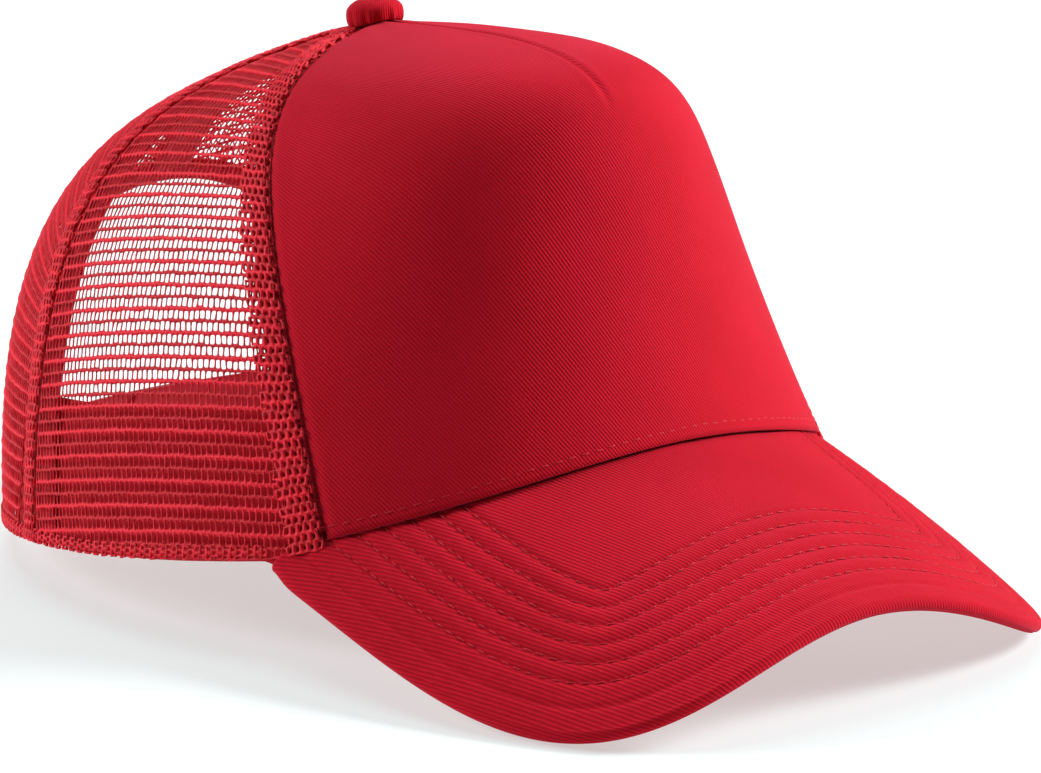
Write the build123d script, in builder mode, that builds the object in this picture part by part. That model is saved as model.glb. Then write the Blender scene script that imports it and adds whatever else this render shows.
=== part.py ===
from build123d import *
from math import atan2, cos, degrees, pi, radians, sin, sqrt, tan
import os

os.makedirs("parts", exist_ok=True)

# ---- driving dimensions, millimetres and degrees ---------------------------------
# The cap is laid out level, as it is worn, then tipped back to stand on a table on
# its bill and its rear hem. Bill towards -Y, wearer's right towards -X, +Z up.
half_width = 89.0  # outside of the hem, side to side, halved
half_depth = 97.7  # outside of the hem, front to back, halved
button_y = -3.3
crown_height = 104.7
rest_tilt = 8.26  # how far the front is raised when the cap stands on a table
rest_lift = 12.54
rest_shift = 27.0  # puts the origin under the middle of the whole cap

# handles of the crown's profile at the front, side and rear
rise_handles = (73.0, 85.7, 71.0)
top_handles = (115.9, 33.0, 83.5)
lean_in = (0.36, 0.24, -0.14)
top_slope = (2.6, 12.2, 8.8)

front_seam_hem = 50.3  # seam between front and side panels, degrees round from the front
front_seam_top = 77.6
rear_seam_hem = 101.9
rear_seam_top = 138.0
rear_hem_z = 1.0

bill_front_z = 15.1
bill_slope = 25.7
bill_arch = 0.00594
bill_arch_power = 1.95
bill_corner = 56.8  # where the bill meets the hem, degrees round from the front
bill_reach = 99.0
bill_squareness = 3.38
bill_skin = 0.7
bill_board = 1.8
bill_gap = 0.1

cloth = 1.0
mesh = 1.2
gap = 0.3
tape_width = 12.0
tape_thickness = 0.9
sweatband_height = 33.0

opening_half_width = 49.0
opening_height = 67.0
opening_power = 2.2
binding_width = 4.5

strap_height = 15.5
strap_thickness = 1.2
strap_reach = 11.5  # how far each strap runs past the centre
strap_root_x = 46.6
tab_gap = 0.45
peg_radius = 1.6
hole_radius = 2.35
peg_pitch = 8.6
peg_count = 6

button_radius = 6.3
button_height = 5.2
hole_at_top = 2.2


# ---- the crown's surface -----------------------------------------------------------
def around(values, angle):
    """Blend a front, side and rear value smoothly round the head."""
    front, side, rear = values
    mean = (front + 2 * side + rear) / 4
    return mean + (front - rear) / 2 * cos(angle) + (front - 2 * side + rear) / 4 * cos(2 * angle)


def bill_z(x, y):
    forward = -(y + half_depth)
    deepening = 1 + 0.00097 * forward + 0.00005 * forward * forward
    drop = bill_arch * 6400 * (abs(x) / 80) ** bill_arch_power * deepening
    return bill_front_z - tan(radians(bill_slope)) * forward - drop


def bill_share(angle):
    """1 where the hem carries the bill, fading to 0 behind it."""
    share = min(max((radians(bill_corner) + 0.5 - abs(angle)) / 0.5, 0), 1)
    return share * share * (3 - 2 * share)


def hem_point(angle):
    x = half_width * sin(angle)
    y = -half_depth * cos(angle)
    held = max(min(angle, radians(bill_corner)), -radians(bill_corner))
    z = bill_z(half_width * sin(held), -half_depth * cos(held))
    share = bill_share(angle)
    return Vector(x, y, z * share + rear_hem_z * (1 - share))


def crown_point(angle, t):
    foot = hem_point(angle)
    top = Vector(0, button_y, crown_height)
    out = Vector(foot.X, foot.Y - button_y, 0).normalized()
    slope = radians(around(top_slope, angle))
    rise = Vector(0, 0, 1) - out * around(lean_in, angle)
    lower = foot + rise * around(rise_handles, angle)
    upper = top + (out * cos(slope) - Vector(0, 0, sin(slope))) * around(top_handles, angle)
    s = 1 - t
    return foot * s**3 + lower * 3 * s * s * t + upper * 3 * s * t * t + top * t**3


def inward(angle, t):
    e = 0.002
    turn = crown_point(angle + e, t) - crown_point(angle - e, t)
    climb = crown_point(angle, t + e) - crown_point(angle, t - e)
    return climb.cross(turn).normalized()


def inset_point(angle, t, inset):
    return crown_point(angle, t) + inward(angle, t) * inset


def stand(point):
    """Tip a level point back into the standing position."""
    c = cos(radians(rest_tilt))
    s = sin(radians(rest_tilt))
    y = point.Y * c + point.Z * s + rest_shift
    return Vector(point.X, y, point.Z * c - point.Y * s + rest_lift)


def stand_plane(origin, z_dir, x_dir=(1, 0, 0)):
    """A sketch plane given level, returned in the standing position."""
    base = stand(Vector(0, 0, 0))
    return Plane(
        origin=stand(Vector(origin)),
        x_dir=stand(Vector(x_dir)) - base,
        z_dir=stand(Vector(z_dir)) - base,
    )


def top_t(angle, hole=hole_at_top):
    return 1 - hole / (3 * around(top_handles, angle))


def seam(hem, top, t):
    return radians(hem + (top - hem) * t)


def front_seam(t):
    return seam(front_seam_hem, front_seam_top, t)


def rear_seam(t):
    return seam(rear_seam_hem, rear_seam_top, t)


def climb_t(angle, height):
    """The profile parameter at a height measured up the cloth from the hem."""
    t = 0.0
    run = 0.0
    last = crown_point(angle, 0)
    while run < height:
        t += 0.004
        here = crown_point(angle, t)
        run += (here - last).length
        last = here
    return t


def above_bill(angle):
    """Where the cloth starts, so that it clears the bill tucked under it."""
    return 0.0075 * min(max((bill_corner + 8.5 - abs(degrees(angle))) / 4, 0), 1)


def skin(point_at, rows=23, columns=19):
    """A smooth face through point_at(s across, v up), both from 0 to 1."""
    grid = []
    for j in range(rows):
        grid.append([stand(point_at(i / (columns - 1), j / (rows - 1))) for i in range(columns)])
    return Face.make_surface_from_array_of_points(grid, tol=0.01)


def wall(point_at, rows=23, columns=19):
    """A closed solid between point_at(s, v, 0), outside, and point_at(s, v, 1), inside."""
    outside = skin(lambda s, v: point_at(s, v, 0), rows, columns)
    inside = skin(lambda s, v: point_at(s, v, 1), rows, columns)
    sides = []
    for a in outside.edges():
        b = min(inside.edges(), key=lambda e: (e.center() - a.center()).length)
        sides.append(Face.make_surface_from_curves(a, b))
    return Solid(Shell([outside, inside] + sides))


def panel(left, right, inset, thickness, margin=0.18):
    """A panel between two seams, each a function of the height parameter."""

    def edge_angle(line, v):
        t = v
        for _ in range(4):
            t = v * top_t(line(t))
        return line(t)

    def point_at(s, v, layer):
        start = edge_angle(left, v) + radians(margin)
        end = edge_angle(right, v) - radians(margin)
        angle = start + (end - start) * s
        low = above_bill(angle)
        t = low + (top_t(angle) - low) * v
        return inset_point(angle, t, inset + thickness * layer)

    return wall(point_at)


def tape(line, sign, inset=mesh + gap, last=0.9, width=tape_width, first=0.0):
    """A flat tape along the inside of a seam."""

    def point_at(s, v, layer):
        t = first + (last - first) * v
        middle = sign * line(t)
        spot = crown_point(middle, t)
        radius = sqrt(spot.X**2 + (spot.Y - button_y) ** 2)
        angle = middle + (s - 0.5) * width / radius
        return inset_point(angle, t, inset + tape_thickness * layer)

    return wall(point_at, rows=21, columns=5)


def arch_line(extra):
    """Points of the rear opening's outline in the level XZ plane."""
    w = opening_half_width + extra
    h = opening_height + extra
    q = 2 / opening_power
    points = []
    for i in range(33):
        a = pi * i / 32
        x = w * abs(cos(a)) ** q * (1 if cos(a) >= 0 else -1)
        points.append((x, h * abs(sin(a)) ** q))
    return points


def arch_sketch(extra):
    points = arch_line(extra)
    with BuildSketch(stand_plane((0, 0, 0), (0, 1, 0), (-1, 0, 0))) as outline:
        with BuildLine():
            Spline(points)
            Polyline(points[-1], (points[-1][0], -25), (points[0][0], -25), points[0])
        make_face()
    return outline.sketch


def bill_outline(inset, tuck=2.1):
    """The bill's plan shape, level: outer edge, then the edge sewn under the hem."""
    w = half_width * sin(radians(bill_corner)) - inset
    back = -half_depth * cos(radians(bill_corner))
    q = 2 / bill_squareness
    outer = []
    for i in range(41):
        a = -pi / 2 + pi * i / 40
        side = 1 if a >= 0 else -1
        outer.append((w * side * abs(sin(a)) ** q, back - (bill_reach - inset) * abs(cos(a)) ** q))
    inner = []
    for i in range(25):
        a = radians(bill_corner - 2.0) * (1 - i / 12)
        inner.append(((half_width - tuck) * sin(a), -(half_depth - tuck) * cos(a)))
    with BuildSketch(stand_plane((0, 0, 0), (0, 0, 1))) as outline:
        with BuildLine():
            Spline(outer)
            Spline(inner)
            Line(outer[-1], inner[0])
            Line(inner[-1], outer[0])
        make_face()
    return outline.sketch


def bill_layer(depth, thickness):
    """A layer of the bill, depth below its upper face, wider than its outline."""

    def point_at(s, v, layer):
        x = -86 + 172 * s
        y = -half_depth - 78 + 150 * v
        slope_x = (bill_z(x + 0.5, y) - bill_z(x - 0.5, y)) / 1.0
        slope_y = (bill_z(x, y + 0.5) - bill_z(x, y - 0.5)) / 1.0
        down = Vector(slope_x, slope_y, -1).normalized()
        return Vector(x, y, bill_z(x, y)) + down * (depth + thickness * layer)

    return wall(point_at, rows=15, columns=31)


# ---- crown panels ---------------------------------------------------------------------
with BuildPart() as front_panel:
    add(panel(lambda t: -front_seam(t), front_seam, 0, cloth))

with BuildPart() as mesh_side_right:
    add(panel(lambda t: -rear_seam(t), lambda t: -front_seam(t), 0, mesh))

with BuildPart() as mesh_side_left:
    add(panel(front_seam, rear_seam, 0, mesh))

with BuildPart() as mesh_rear_right:
    add(panel(lambda t: -pi, lambda t: -rear_seam(t), 0, mesh))
    extrude(arch_sketch(binding_width + 0.2), amount=130, mode=Mode.SUBTRACT)

with BuildPart() as mesh_rear_left:
    add(panel(rear_seam, lambda t: pi, 0, mesh))
    extrude(arch_sketch(binding_width + 0.2), amount=130, mode=Mode.SUBTRACT)


# ---- lining, tapes and the bound edge of the rear opening ----------------------------
with BuildPart() as front_buckram:

    def buckram_at(s, v, layer):
        t = 0.014 + 0.886 * v
        spot = crown_point(front_seam(t), t)
        half = front_seam(t) - (tape_width / 2 + 1.5) / sqrt(spot.X**2 + (spot.Y - button_y) ** 2)
        return inset_point((2 * s - 1) * half, t, cloth + gap + 0.9 * layer)

    add(wall(buckram_at))

with BuildPart() as tape_front_right:
    add(tape(front_seam, -1, first=0.016))

with BuildPart() as tape_front_left:
    add(tape(front_seam, 1, first=0.016))

with BuildPart() as tape_side_right:
    add(tape(rear_seam, -1))

with BuildPart() as tape_side_left:
    add(tape(rear_seam, 1))

arch_top_t = climb_t(pi, opening_height + binding_width + 1.5)
with BuildPart() as tape_rear_centre:
    add(tape(lambda t: pi, 1, last=0.93, first=arch_top_t))

with BuildPart() as opening_binding:

    def binding_at(s, v, layer):
        return inset_point(pi + radians(44) * (1 - 2 * s), 0.47 * v, -0.3 + 1.7 * layer)

    add(wall(binding_at, columns=25))
    extrude(arch_sketch(binding_width), amount=130, mode=Mode.INTERSECT)
    extrude(arch_sketch(0), amount=130, mode=Mode.SUBTRACT)

# ---- sweatband --------------------------------------------------------------------------
band_end = radians(144.5)


def band_at(inset, thickness, height, drop):
    def point_at(s, v, layer):
        angle = band_end * (2 * s - 1)
        share = min(max((bill_corner + 3 - degrees(abs(angle))) / 5, 0), 1)
        low = -drop * share / (3 * around(rise_handles, angle))
        high = height / (3 * around(rise_handles, angle)) * 1.06
        return inset_point(angle, low + (high - low) * v, inset + thickness * layer)

    return wall(point_at, rows=7, columns=61)


with BuildPart() as sweatband_backing:
    add(band_at(3.1, 0.7, sweatband_height - 1.5, 2.6))

with BuildPart() as sweatband:
    add(band_at(4.0, 1.1, sweatband_height, 3.0))

# ---- bill -------------------------------------------------------------------------------
board_depth = bill_skin + bill_gap
under_depth = board_depth + bill_board + bill_gap

with BuildPart() as bill_top_fabric:
    add(bill_layer(0, bill_skin))
    extrude(bill_outline(0), amount=120, both=True, mode=Mode.INTERSECT)

with BuildPart() as bill_stiffener:
    add(bill_layer(board_depth, bill_board))
    extrude(bill_outline(2.2), amount=120, both=True, mode=Mode.INTERSECT)

with BuildPart() as bill_rim_roll:
    add(bill_layer(board_depth, bill_board))
    extrude(bill_outline(0.3), amount=120, both=True, mode=Mode.INTERSECT)
    extrude(bill_outline(2.0, tuck=12), amount=120, both=True, mode=Mode.SUBTRACT)

with BuildPart() as bill_under_fabric:
    add(bill_layer(under_depth, bill_skin))
    extrude(bill_outline(0), amount=120, both=True, mode=Mode.INTERSECT)

# ---- button -----------------------------------------------------------------------------
crown_top = (0, button_y, crown_height)
with BuildPart() as button_cover:
    with BuildSketch(stand_plane(crown_top, (0, -1, 0))) as cover_profile:
        with BuildLine():
            Line((4.2, 0.5), (button_radius - 0.7, 0.7))
            Spline(
                (button_radius - 0.7, 0.7),
                (button_radius, 2.0),
                (button_radius * 0.72, 4.3),
                (0, button_height),
                tangents=((1, 0.4), (-1, 0)),
            )
            Line((0, button_height), (0, button_height - 0.9))
            Spline(
                (0, button_height - 0.9),
                (button_radius * 0.66, 3.5),
                (button_radius - 0.9, 1.9),
                (4.2, 1.3),
                tangents=((1, 0), (-1, -0.3)),
            )
            Line((4.2, 1.3), (4.2, 0.5))
        make_face()
    revolve(axis=Axis(stand(Vector(crown_top)), stand_plane(crown_top, (0, 0, 1)).z_dir))

with BuildPart() as button_shell:
    with BuildSketch(stand_plane(crown_top, (0, -1, 0))):
        with BuildLine():
            Polyline((0, 4.1), (0, 1.5), (4.7, 1.6), (5.0, 2.0))
            Spline((5.0, 2.0), (3.7, 3.4), (0, 4.1), tangents=((-0.3, 1), (-1, 0)))
        make_face()
    revolve(axis=Axis(stand(Vector(crown_top)), stand_plane(crown_top, (0, 0, 1)).z_dir))

with BuildPart() as button_rivet:
    with Locations(stand_plane((0, button_y, crown_height - 5.0), (0, 0, 1))):
        Cylinder(1.1, 6.2, align=(Align.CENTER, Align.CENTER, Align.MIN))
        Cylinder(5.5, 0.8, align=(Align.CENTER, Align.CENTER, Align.MIN))

# ---- rear straps ------------------------------------------------------------------------
plan_radius = 91.0


def strap_angle(run):
    """Angle round the head at a run along the strap from the rear centre."""
    return pi - run / plan_radius


def strap_depth(run, outer):
    """Outer strap runs flush with its tab; the inner one steps in behind it."""
    if outer:
        return mesh + gap
    share = min(max((44.0 - abs(run)) / 14.0, 0), 1)
    return mesh + gap + (strap_thickness + gap) * share * share * (3 - 2 * share)


def strap_band(low_run, high_run, outer):
    def point_at(s, v, layer):
        run = low_run + (high_run - low_run) * s
        depth = strap_depth(run, outer) + strap_thickness * layer
        return inset_point(strap_angle(run), -0.02 + 0.13 * v, depth)

    return wall(point_at, rows=5, columns=41)


def strap_face(low, high, tip):
    """The strap's outline seen from behind, with one rounded end at low or high."""
    middle = rear_hem_z + 0.3 + strap_height / 2
    with BuildSketch(stand_plane((0, 0, 0), (0, 1, 0), (-1, 0, 0))) as outline:
        with Locations((-(low + high) / 2, middle)):
            Rectangle(high - low, strap_height)
        rounded = outline.vertices().sort_by(Axis.X)
        fillet(rounded[:2] if tip > 0 else rounded[2:], 6.5)
    return outline.sketch


def on_strap(run, outer):
    """A plane on the strap's outer face at mid height, normal outwards."""
    t = climb_t(strap_angle(run), 0.3 + strap_height / 2)
    depth = strap_depth(run, outer)
    spot = inset_point(strap_angle(run), t, depth)
    return stand_plane(spot, inward(strap_angle(run), t) * -1)


with BuildPart() as strap_with_holes:
    add(strap_band(-56, strap_reach + 3, True))
    extrude(strap_face(-strap_root_x, strap_reach, 1), amount=130, mode=Mode.INTERSECT)
    with Locations([on_strap(peg_pitch * (1 - i), True) for i in range(peg_count)]):
        Cylinder(hole_radius, 8, mode=Mode.SUBTRACT)

with BuildPart() as strap_with_pegs:
    add(strap_band(-strap_reach - 3, 56, False))
    extrude(strap_face(-strap_reach, strap_root_x, -1), amount=130, mode=Mode.INTERSECT)
    with Locations([on_strap(peg_pitch * (i - 1), False) for i in range(peg_count)]):
        with Locations((0, 0, -0.5)):
            Cylinder(peg_radius, 1.4, align=(Align.CENTER, Align.CENTER, Align.MIN))
        with Locations((0, 0, 0.9)):
            Sphere(peg_radius)

with BuildPart() as strap_tab_right:
    add(strap_band(-66, -40, True))
    extrude(strap_face(-58, -strap_root_x - 2 * tab_gap, -1), amount=130, mode=Mode.INTERSECT)

with BuildPart() as strap_tab_left:
    add(strap_band(40, 66, True))
    extrude(strap_face(strap_root_x + 2 * tab_gap, 58, 1), amount=130, mode=Mode.INTERSECT)

# ---- blank care label inside the rear left ------------------------------------------------
with BuildPart() as care_label:

    def label_at(s, v, layer):
        angle = radians(112 + 14 * s)
        return inset_point(angle, 0.03 + 0.075 * v, sweatband_inset + 0.5 * layer)

    sweatband_inset = 4.0 + 1.1 + gap
    add(wall(label_at, rows=5, columns=5))

# ---- labels and files ---------------------------------------------------------------------
named = {
    "front_panel": front_panel,
    "front_buckram": front_buckram,
    "mesh_side_right": mesh_side_right,
    "mesh_side_left": mesh_side_left,
    "mesh_rear_right": mesh_rear_right,
    "mesh_rear_left": mesh_rear_left,
    "tape_front_right": tape_front_right,
    "tape_front_left": tape_front_left,
    "tape_side_right": tape_side_right,
    "tape_side_left": tape_side_left,
    "tape_rear_centre": tape_rear_centre,
    "opening_binding": opening_binding,
    "sweatband_backing": sweatband_backing,
    "sweatband": sweatband,
    "care_label": care_label,
    "bill_top_fabric": bill_top_fabric,
    "bill_stiffener": bill_stiffener,
    "bill_rim_roll": bill_rim_roll,
    "bill_under_fabric": bill_under_fabric,
    "button_cover": button_cover,
    "button_shell": button_shell,
    "button_rivet": button_rivet,
    "strap_tab_right": strap_tab_right,
    "strap_tab_left": strap_tab_left,
    "strap_with_holes": strap_with_holes,
    "strap_with_pegs": strap_with_pegs,
}
for side in (-1, 1):
    x = strap_root_x + tab_gap
    angle = pi + side * atan2(x, half_depth * sqrt(1 - (x / half_width) ** 2))
    for _ in range(20):
        depth = strap_depth(46, True) + strap_thickness / 2
        error = inset_point(angle, 0.035, depth).X * -side - x
        angle -= side * error / half_width
    print("hinge", side, inset_point(angle, 0.035, depth), stand(inset_point(angle, 0.035, depth)))
for name, piece in named.items():
    piece.part.label = name
    export_step(piece.part, "parts/" + name + ".step")
    box = piece.part.bounding_box()
    size = [round(v, 2) for v in (box.min.X, box.min.Y, box.min.Z, box.max.X, box.max.Y, box.max.Z)]
    print(name, round(piece.part.volume), len(piece.part.solids()), piece.part.is_valid, size)
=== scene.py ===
import math

import bpy
import numpy as np
from mathutils import Matrix, Vector


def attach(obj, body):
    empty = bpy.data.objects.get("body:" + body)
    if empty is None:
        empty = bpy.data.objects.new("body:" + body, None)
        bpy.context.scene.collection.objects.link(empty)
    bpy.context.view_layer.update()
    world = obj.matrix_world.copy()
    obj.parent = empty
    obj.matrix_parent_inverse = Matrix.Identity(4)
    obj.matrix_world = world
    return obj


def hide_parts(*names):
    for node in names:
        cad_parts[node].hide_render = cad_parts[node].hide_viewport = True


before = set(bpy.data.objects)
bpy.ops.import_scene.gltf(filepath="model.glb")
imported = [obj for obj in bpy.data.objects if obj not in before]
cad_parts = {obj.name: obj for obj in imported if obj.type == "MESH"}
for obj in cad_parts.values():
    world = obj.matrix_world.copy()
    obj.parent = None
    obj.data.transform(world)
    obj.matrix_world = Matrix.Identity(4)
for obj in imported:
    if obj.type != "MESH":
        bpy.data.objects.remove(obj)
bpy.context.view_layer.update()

# ---- the cap's own dimensions, millimetres and degrees, as in part.py ---------------
# The cap is laid out level, as it is worn, and stand() tips it back to stand on a table.
# Bill towards -Y, +Z up. Groups of three are values at the front, side and rear.
HALF_WIDTH, HALF_DEPTH = 89.0, 97.7
BUTTON_Y, CROWN_HEIGHT = -3.3, 104.7
TILT, LIFT, SHIFT = math.radians(8.26), 12.54, 27.0
RISE, TOP = (73.0, 85.7, 71.0), (115.9, 33.0, 83.5)
LEAN, TOP_SLOPE = (0.36, 0.24, -0.14), (2.6, 12.2, 8.8)
FRONT_SEAM, REAR_SEAM = (50.3, 77.6), (101.9, 138.0)
REAR_HEM_Z = 1.0
BILL_Z, BILL_SLOPE, BILL_ARCH, BILL_POWER = 15.1, 25.7, 0.00594, 1.95
BILL_CORNER, BILL_REACH, BILL_SQUARE = 56.8, 99.0, 3.38
BILL_THICK = 3.4
ARCH_W, ARCH_H, ARCH_POWER, BINDING = 49.0, 67.0, 2.2, 4.5
TAPE_WIDTH = 12.0


# ---- the crown's surface ---------------------------------------------------------------
# a is the angle round from the front, and t runs from 0 at the hem to 1 at the button.
def around(values, a):
    """Blend a front, side and rear value smoothly round the head."""
    f, s, r = values
    return (f + 2 * s + r) / 4 + (f - r) / 2 * np.cos(a) + (f - 2 * s + r) / 4 * np.cos(2 * a)


def bill_z(x, y):
    """The height of the bill's top face, which slopes forward and arches from side to side."""
    forward = -(y + HALF_DEPTH)
    deeper = 1 + 0.00097 * forward + 0.00005 * forward * forward
    drop = BILL_ARCH * 6400 * (np.abs(x) / 80) ** BILL_POWER * deeper
    return BILL_Z - math.tan(math.radians(BILL_SLOPE)) * forward - drop


def hem(a):
    """The lower edge of the crown: on the bill at the front, and level at the rear."""
    corner = math.radians(BILL_CORNER)
    share = np.clip((corner + 0.5 - np.abs(a)) / 0.5, 0, 1)
    share = share * share * (3 - 2 * share)
    held = np.clip(a, -corner, corner)
    z = bill_z(HALF_WIDTH * np.sin(held), -HALF_DEPTH * np.cos(held))
    z = z * share + REAR_HEM_Z * (1 - share)
    return np.stack([HALF_WIDTH * np.sin(a), -HALF_DEPTH * np.cos(a), z], -1)


def crown(a, t):
    """Points of the crown's outer surface: a Bezier curve up from the hem at each angle."""
    a, t = np.broadcast_arrays(np.asarray(a, float), np.asarray(t, float))
    foot = hem(a)
    top = np.array([0, BUTTON_Y, CROWN_HEIGHT])
    out = foot - top
    out[..., 2] = 0
    out /= np.linalg.norm(out, axis=-1, keepdims=True)
    slope = np.radians(around(TOP_SLOPE, a))[..., None]
    up = np.array([0, 0, 1.0])
    lower = foot + (up - out * around(LEAN, a)[..., None]) * around(RISE, a)[..., None]
    upper = top + (out * np.cos(slope) - up * np.sin(slope)) * around(TOP, a)[..., None]
    t = t[..., None]
    s = 1 - t
    return foot * s**3 + lower * 3 * s * s * t + upper * 3 * s * t * t + top * t**3


def unit(v):
    return v / np.maximum(np.linalg.norm(v, axis=-1, keepdims=True), 1e-9)


def outward(a, t):
    """The direction away from the crown's surface."""
    e = 0.002
    turn = crown(np.add(a, e), t) - crown(np.subtract(a, e), t)
    climb = crown(a, np.add(t, e)) - crown(a, np.subtract(t, e))
    return unit(np.cross(turn, climb))


def crown_at(a, t, inset):
    """Points a distance inside the crown's surface."""
    inset = np.asarray(inset, float)[..., None]
    return crown(a, t) - outward(a, t) * inset


def stand(p):
    """Level millimetres to the standing cap's metres."""
    c, s = math.cos(TILT), math.sin(TILT)
    y = p[..., 1] * c + p[..., 2] * s + SHIFT
    z = p[..., 2] * c - p[..., 1] * s + LIFT
    return np.stack([p[..., 0], y, z], -1) / 1000


def near_hem(a):
    """Millimetres up the crown to one unit of t, close to the hem."""
    return 3 * around(RISE, a)


def seam(pair, t):
    return np.radians(pair[0] + (pair[1] - pair[0]) * t)


def seam_line(pair, sign):
    """A seam's angle as a function of t: sign is 1 on the left of the cap, -1 on the right."""
    return lambda t: sign * seam(pair, t)


def top_t(a, hole=2.2):
    """The t at which a panel stops short of the button's hole, a radius in millimetres."""
    return 1 - hole / (3 * around(TOP, a))


def radius_at(a, t):
    """The distance from the button's axis, so that a length round the crown is this times an angle."""
    p = crown(a, t)
    return np.maximum(np.hypot(p[..., 0], p[..., 1] - BUTTON_Y), 1.0)


def climb(a, n=401):
    """Lengths up the cloth from the hem at one angle, and the t of each."""
    t = np.linspace(-0.02, 1, n)
    p = crown(np.full(n, a), t)
    run = np.r_[0, np.cumsum(np.linalg.norm(np.diff(p, axis=0), axis=1))]
    return run - np.interp(0, t, run), t


def noise(u, v, scale, seed=0):
    """Smooth, repeatable waves standing in for random cloth movement."""
    r = np.random.default_rng(seed)
    total = 0
    for k in range(5):
        d = r.uniform(0, 2 * math.pi)
        f = (0.6 + 0.35 * k) / scale
        total = total + np.sin(2 * math.pi * f * (u * math.cos(d) + v * math.sin(d)) + r.uniform(0, 6.3))
    return total / 3


# ---- meshes -------------------------------------------------------------------------------
def piece(name, verts, faces, material, replaces=(), body="cap", uv=None):
    """A mesh from points in level millimetres; uv is in millimetres along the cloth."""
    mesh = bpy.data.meshes.new(name)
    mesh.from_pydata(stand(np.asarray(verts)).tolist(), [], [list(map(int, f)) for f in faces])
    if uv is not None:
        layer = mesh.uv_layers.new(name="cloth")
        loops = np.zeros(len(mesh.loops), dtype=np.int32)
        mesh.loops.foreach_get("vertex_index", loops)
        layer.data.foreach_set("uv", (np.asarray(uv)[loops] / 100).astype(np.float32).ravel())
    mesh.polygons.foreach_set("use_smooth", [True] * len(mesh.polygons))
    mesh.update()
    obj = bpy.data.objects.new(name, mesh)
    bpy.context.scene.collection.objects.link(obj)
    obj.data.materials.append(material)
    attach(obj, body)
    if replaces:
        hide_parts(*replaces)
    return obj


def grid_faces(rows, columns, start=0, flip=False, wrap=False):
    """Four-sided faces between rows of points; wrap joins the last column to the first."""
    i, j = np.meshgrid(np.arange(rows - 1), np.arange(columns if wrap else columns - 1), indexing="ij")
    k = (j + 1) % columns
    a, b = start + i * columns + j, start + i * columns + k
    c, d = start + (i + 1) * columns + k, start + (i + 1) * columns + j
    f = np.stack([a, b, c, d], -1).reshape(-1, 4)
    return f[:, ::-1] if flip else f


def shell(outer, inner):
    """A closed skin between two grids of points, outer facing out."""
    rows, columns = outer.shape[:2]
    n = rows * columns
    verts = np.concatenate([outer.reshape(-1, 3), inner.reshape(-1, 3)])
    faces = [grid_faces(rows, columns), grid_faces(rows, columns, n, flip=True)]
    index = np.arange(n).reshape(rows, columns)
    ring = np.concatenate([index[0], index[1:, -1], index[-1, ::-1][1:], index[::-1, 0][1:-1]])
    nxt = np.roll(ring, -1)
    faces.append(np.stack([ring, ring + n, nxt + n, nxt], -1))
    return verts, np.concatenate(faces)


def loft(sections):
    """A closed tube through rings of points, capped at both ends."""
    rows, columns = sections.shape[:2]
    verts = sections.reshape(-1, 3)
    faces = [tuple(f) for f in grid_faces(rows, columns, wrap=True)]
    faces.append(tuple(range(columns))[::-1])
    faces.append(tuple(range((rows - 1) * columns, rows * columns)))
    return verts, faces


def stitches(name, lines, length, space, radius, material, sink=0.0):
    """Rows of separate stitches; each line is (points, normals) in level millimetres."""
    r = np.random.default_rng(3)
    verts, faces = [], []
    sides, rings = 6, np.array([0.0, 0.12, 0.35, 0.65, 0.88, 1.0])
    girth = np.array([0.35, 0.8, 1.0, 1.0, 0.8, 0.35])
    rise = np.array([-1.0, -0.2, 0.35, 0.35, -0.2, -1.0])
    ang = np.linspace(0, 2 * math.pi, sides, endpoint=False)
    for points, normals in lines:
        run = np.r_[0, np.cumsum(np.linalg.norm(np.diff(points, axis=0), axis=1))]
        count = int(run[-1] / (length + space))
        for k in range(count):
            begin = k * (length + space) + space / 2
            at = begin + rings * length
            p = np.stack([np.interp(at, run, points[:, m]) for m in range(3)], -1)
            n = unit(np.stack([np.interp(at, run, normals[:, m]) for m in range(3)], -1))
            d = unit(np.gradient(p, axis=0))
            side = np.cross(d, n)
            p = p + side * r.normal(0, 0.05) + n * (rise[:, None] * radius * 0.9 - sink)
            g = (radius * girth * r.uniform(0.9, 1.1))[:, None, None]
            sideways = side[:, None] * np.cos(ang)[None, :, None]
            ring = p[:, None] + g * (sideways + n[:, None] * np.sin(ang)[None, :, None])
            start = len(verts) * len(rings) * sides
            verts.append(ring.reshape(-1, 3))
            faces += [tuple(f) for f in grid_faces(len(rings), sides, start, wrap=True)]
            faces.append(tuple(range(start, start + sides))[::-1])
            last = start + (len(rings) - 1) * sides
            faces.append(tuple(range(last, last + sides)))
    return piece(name, np.concatenate(verts), faces, material)


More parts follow.
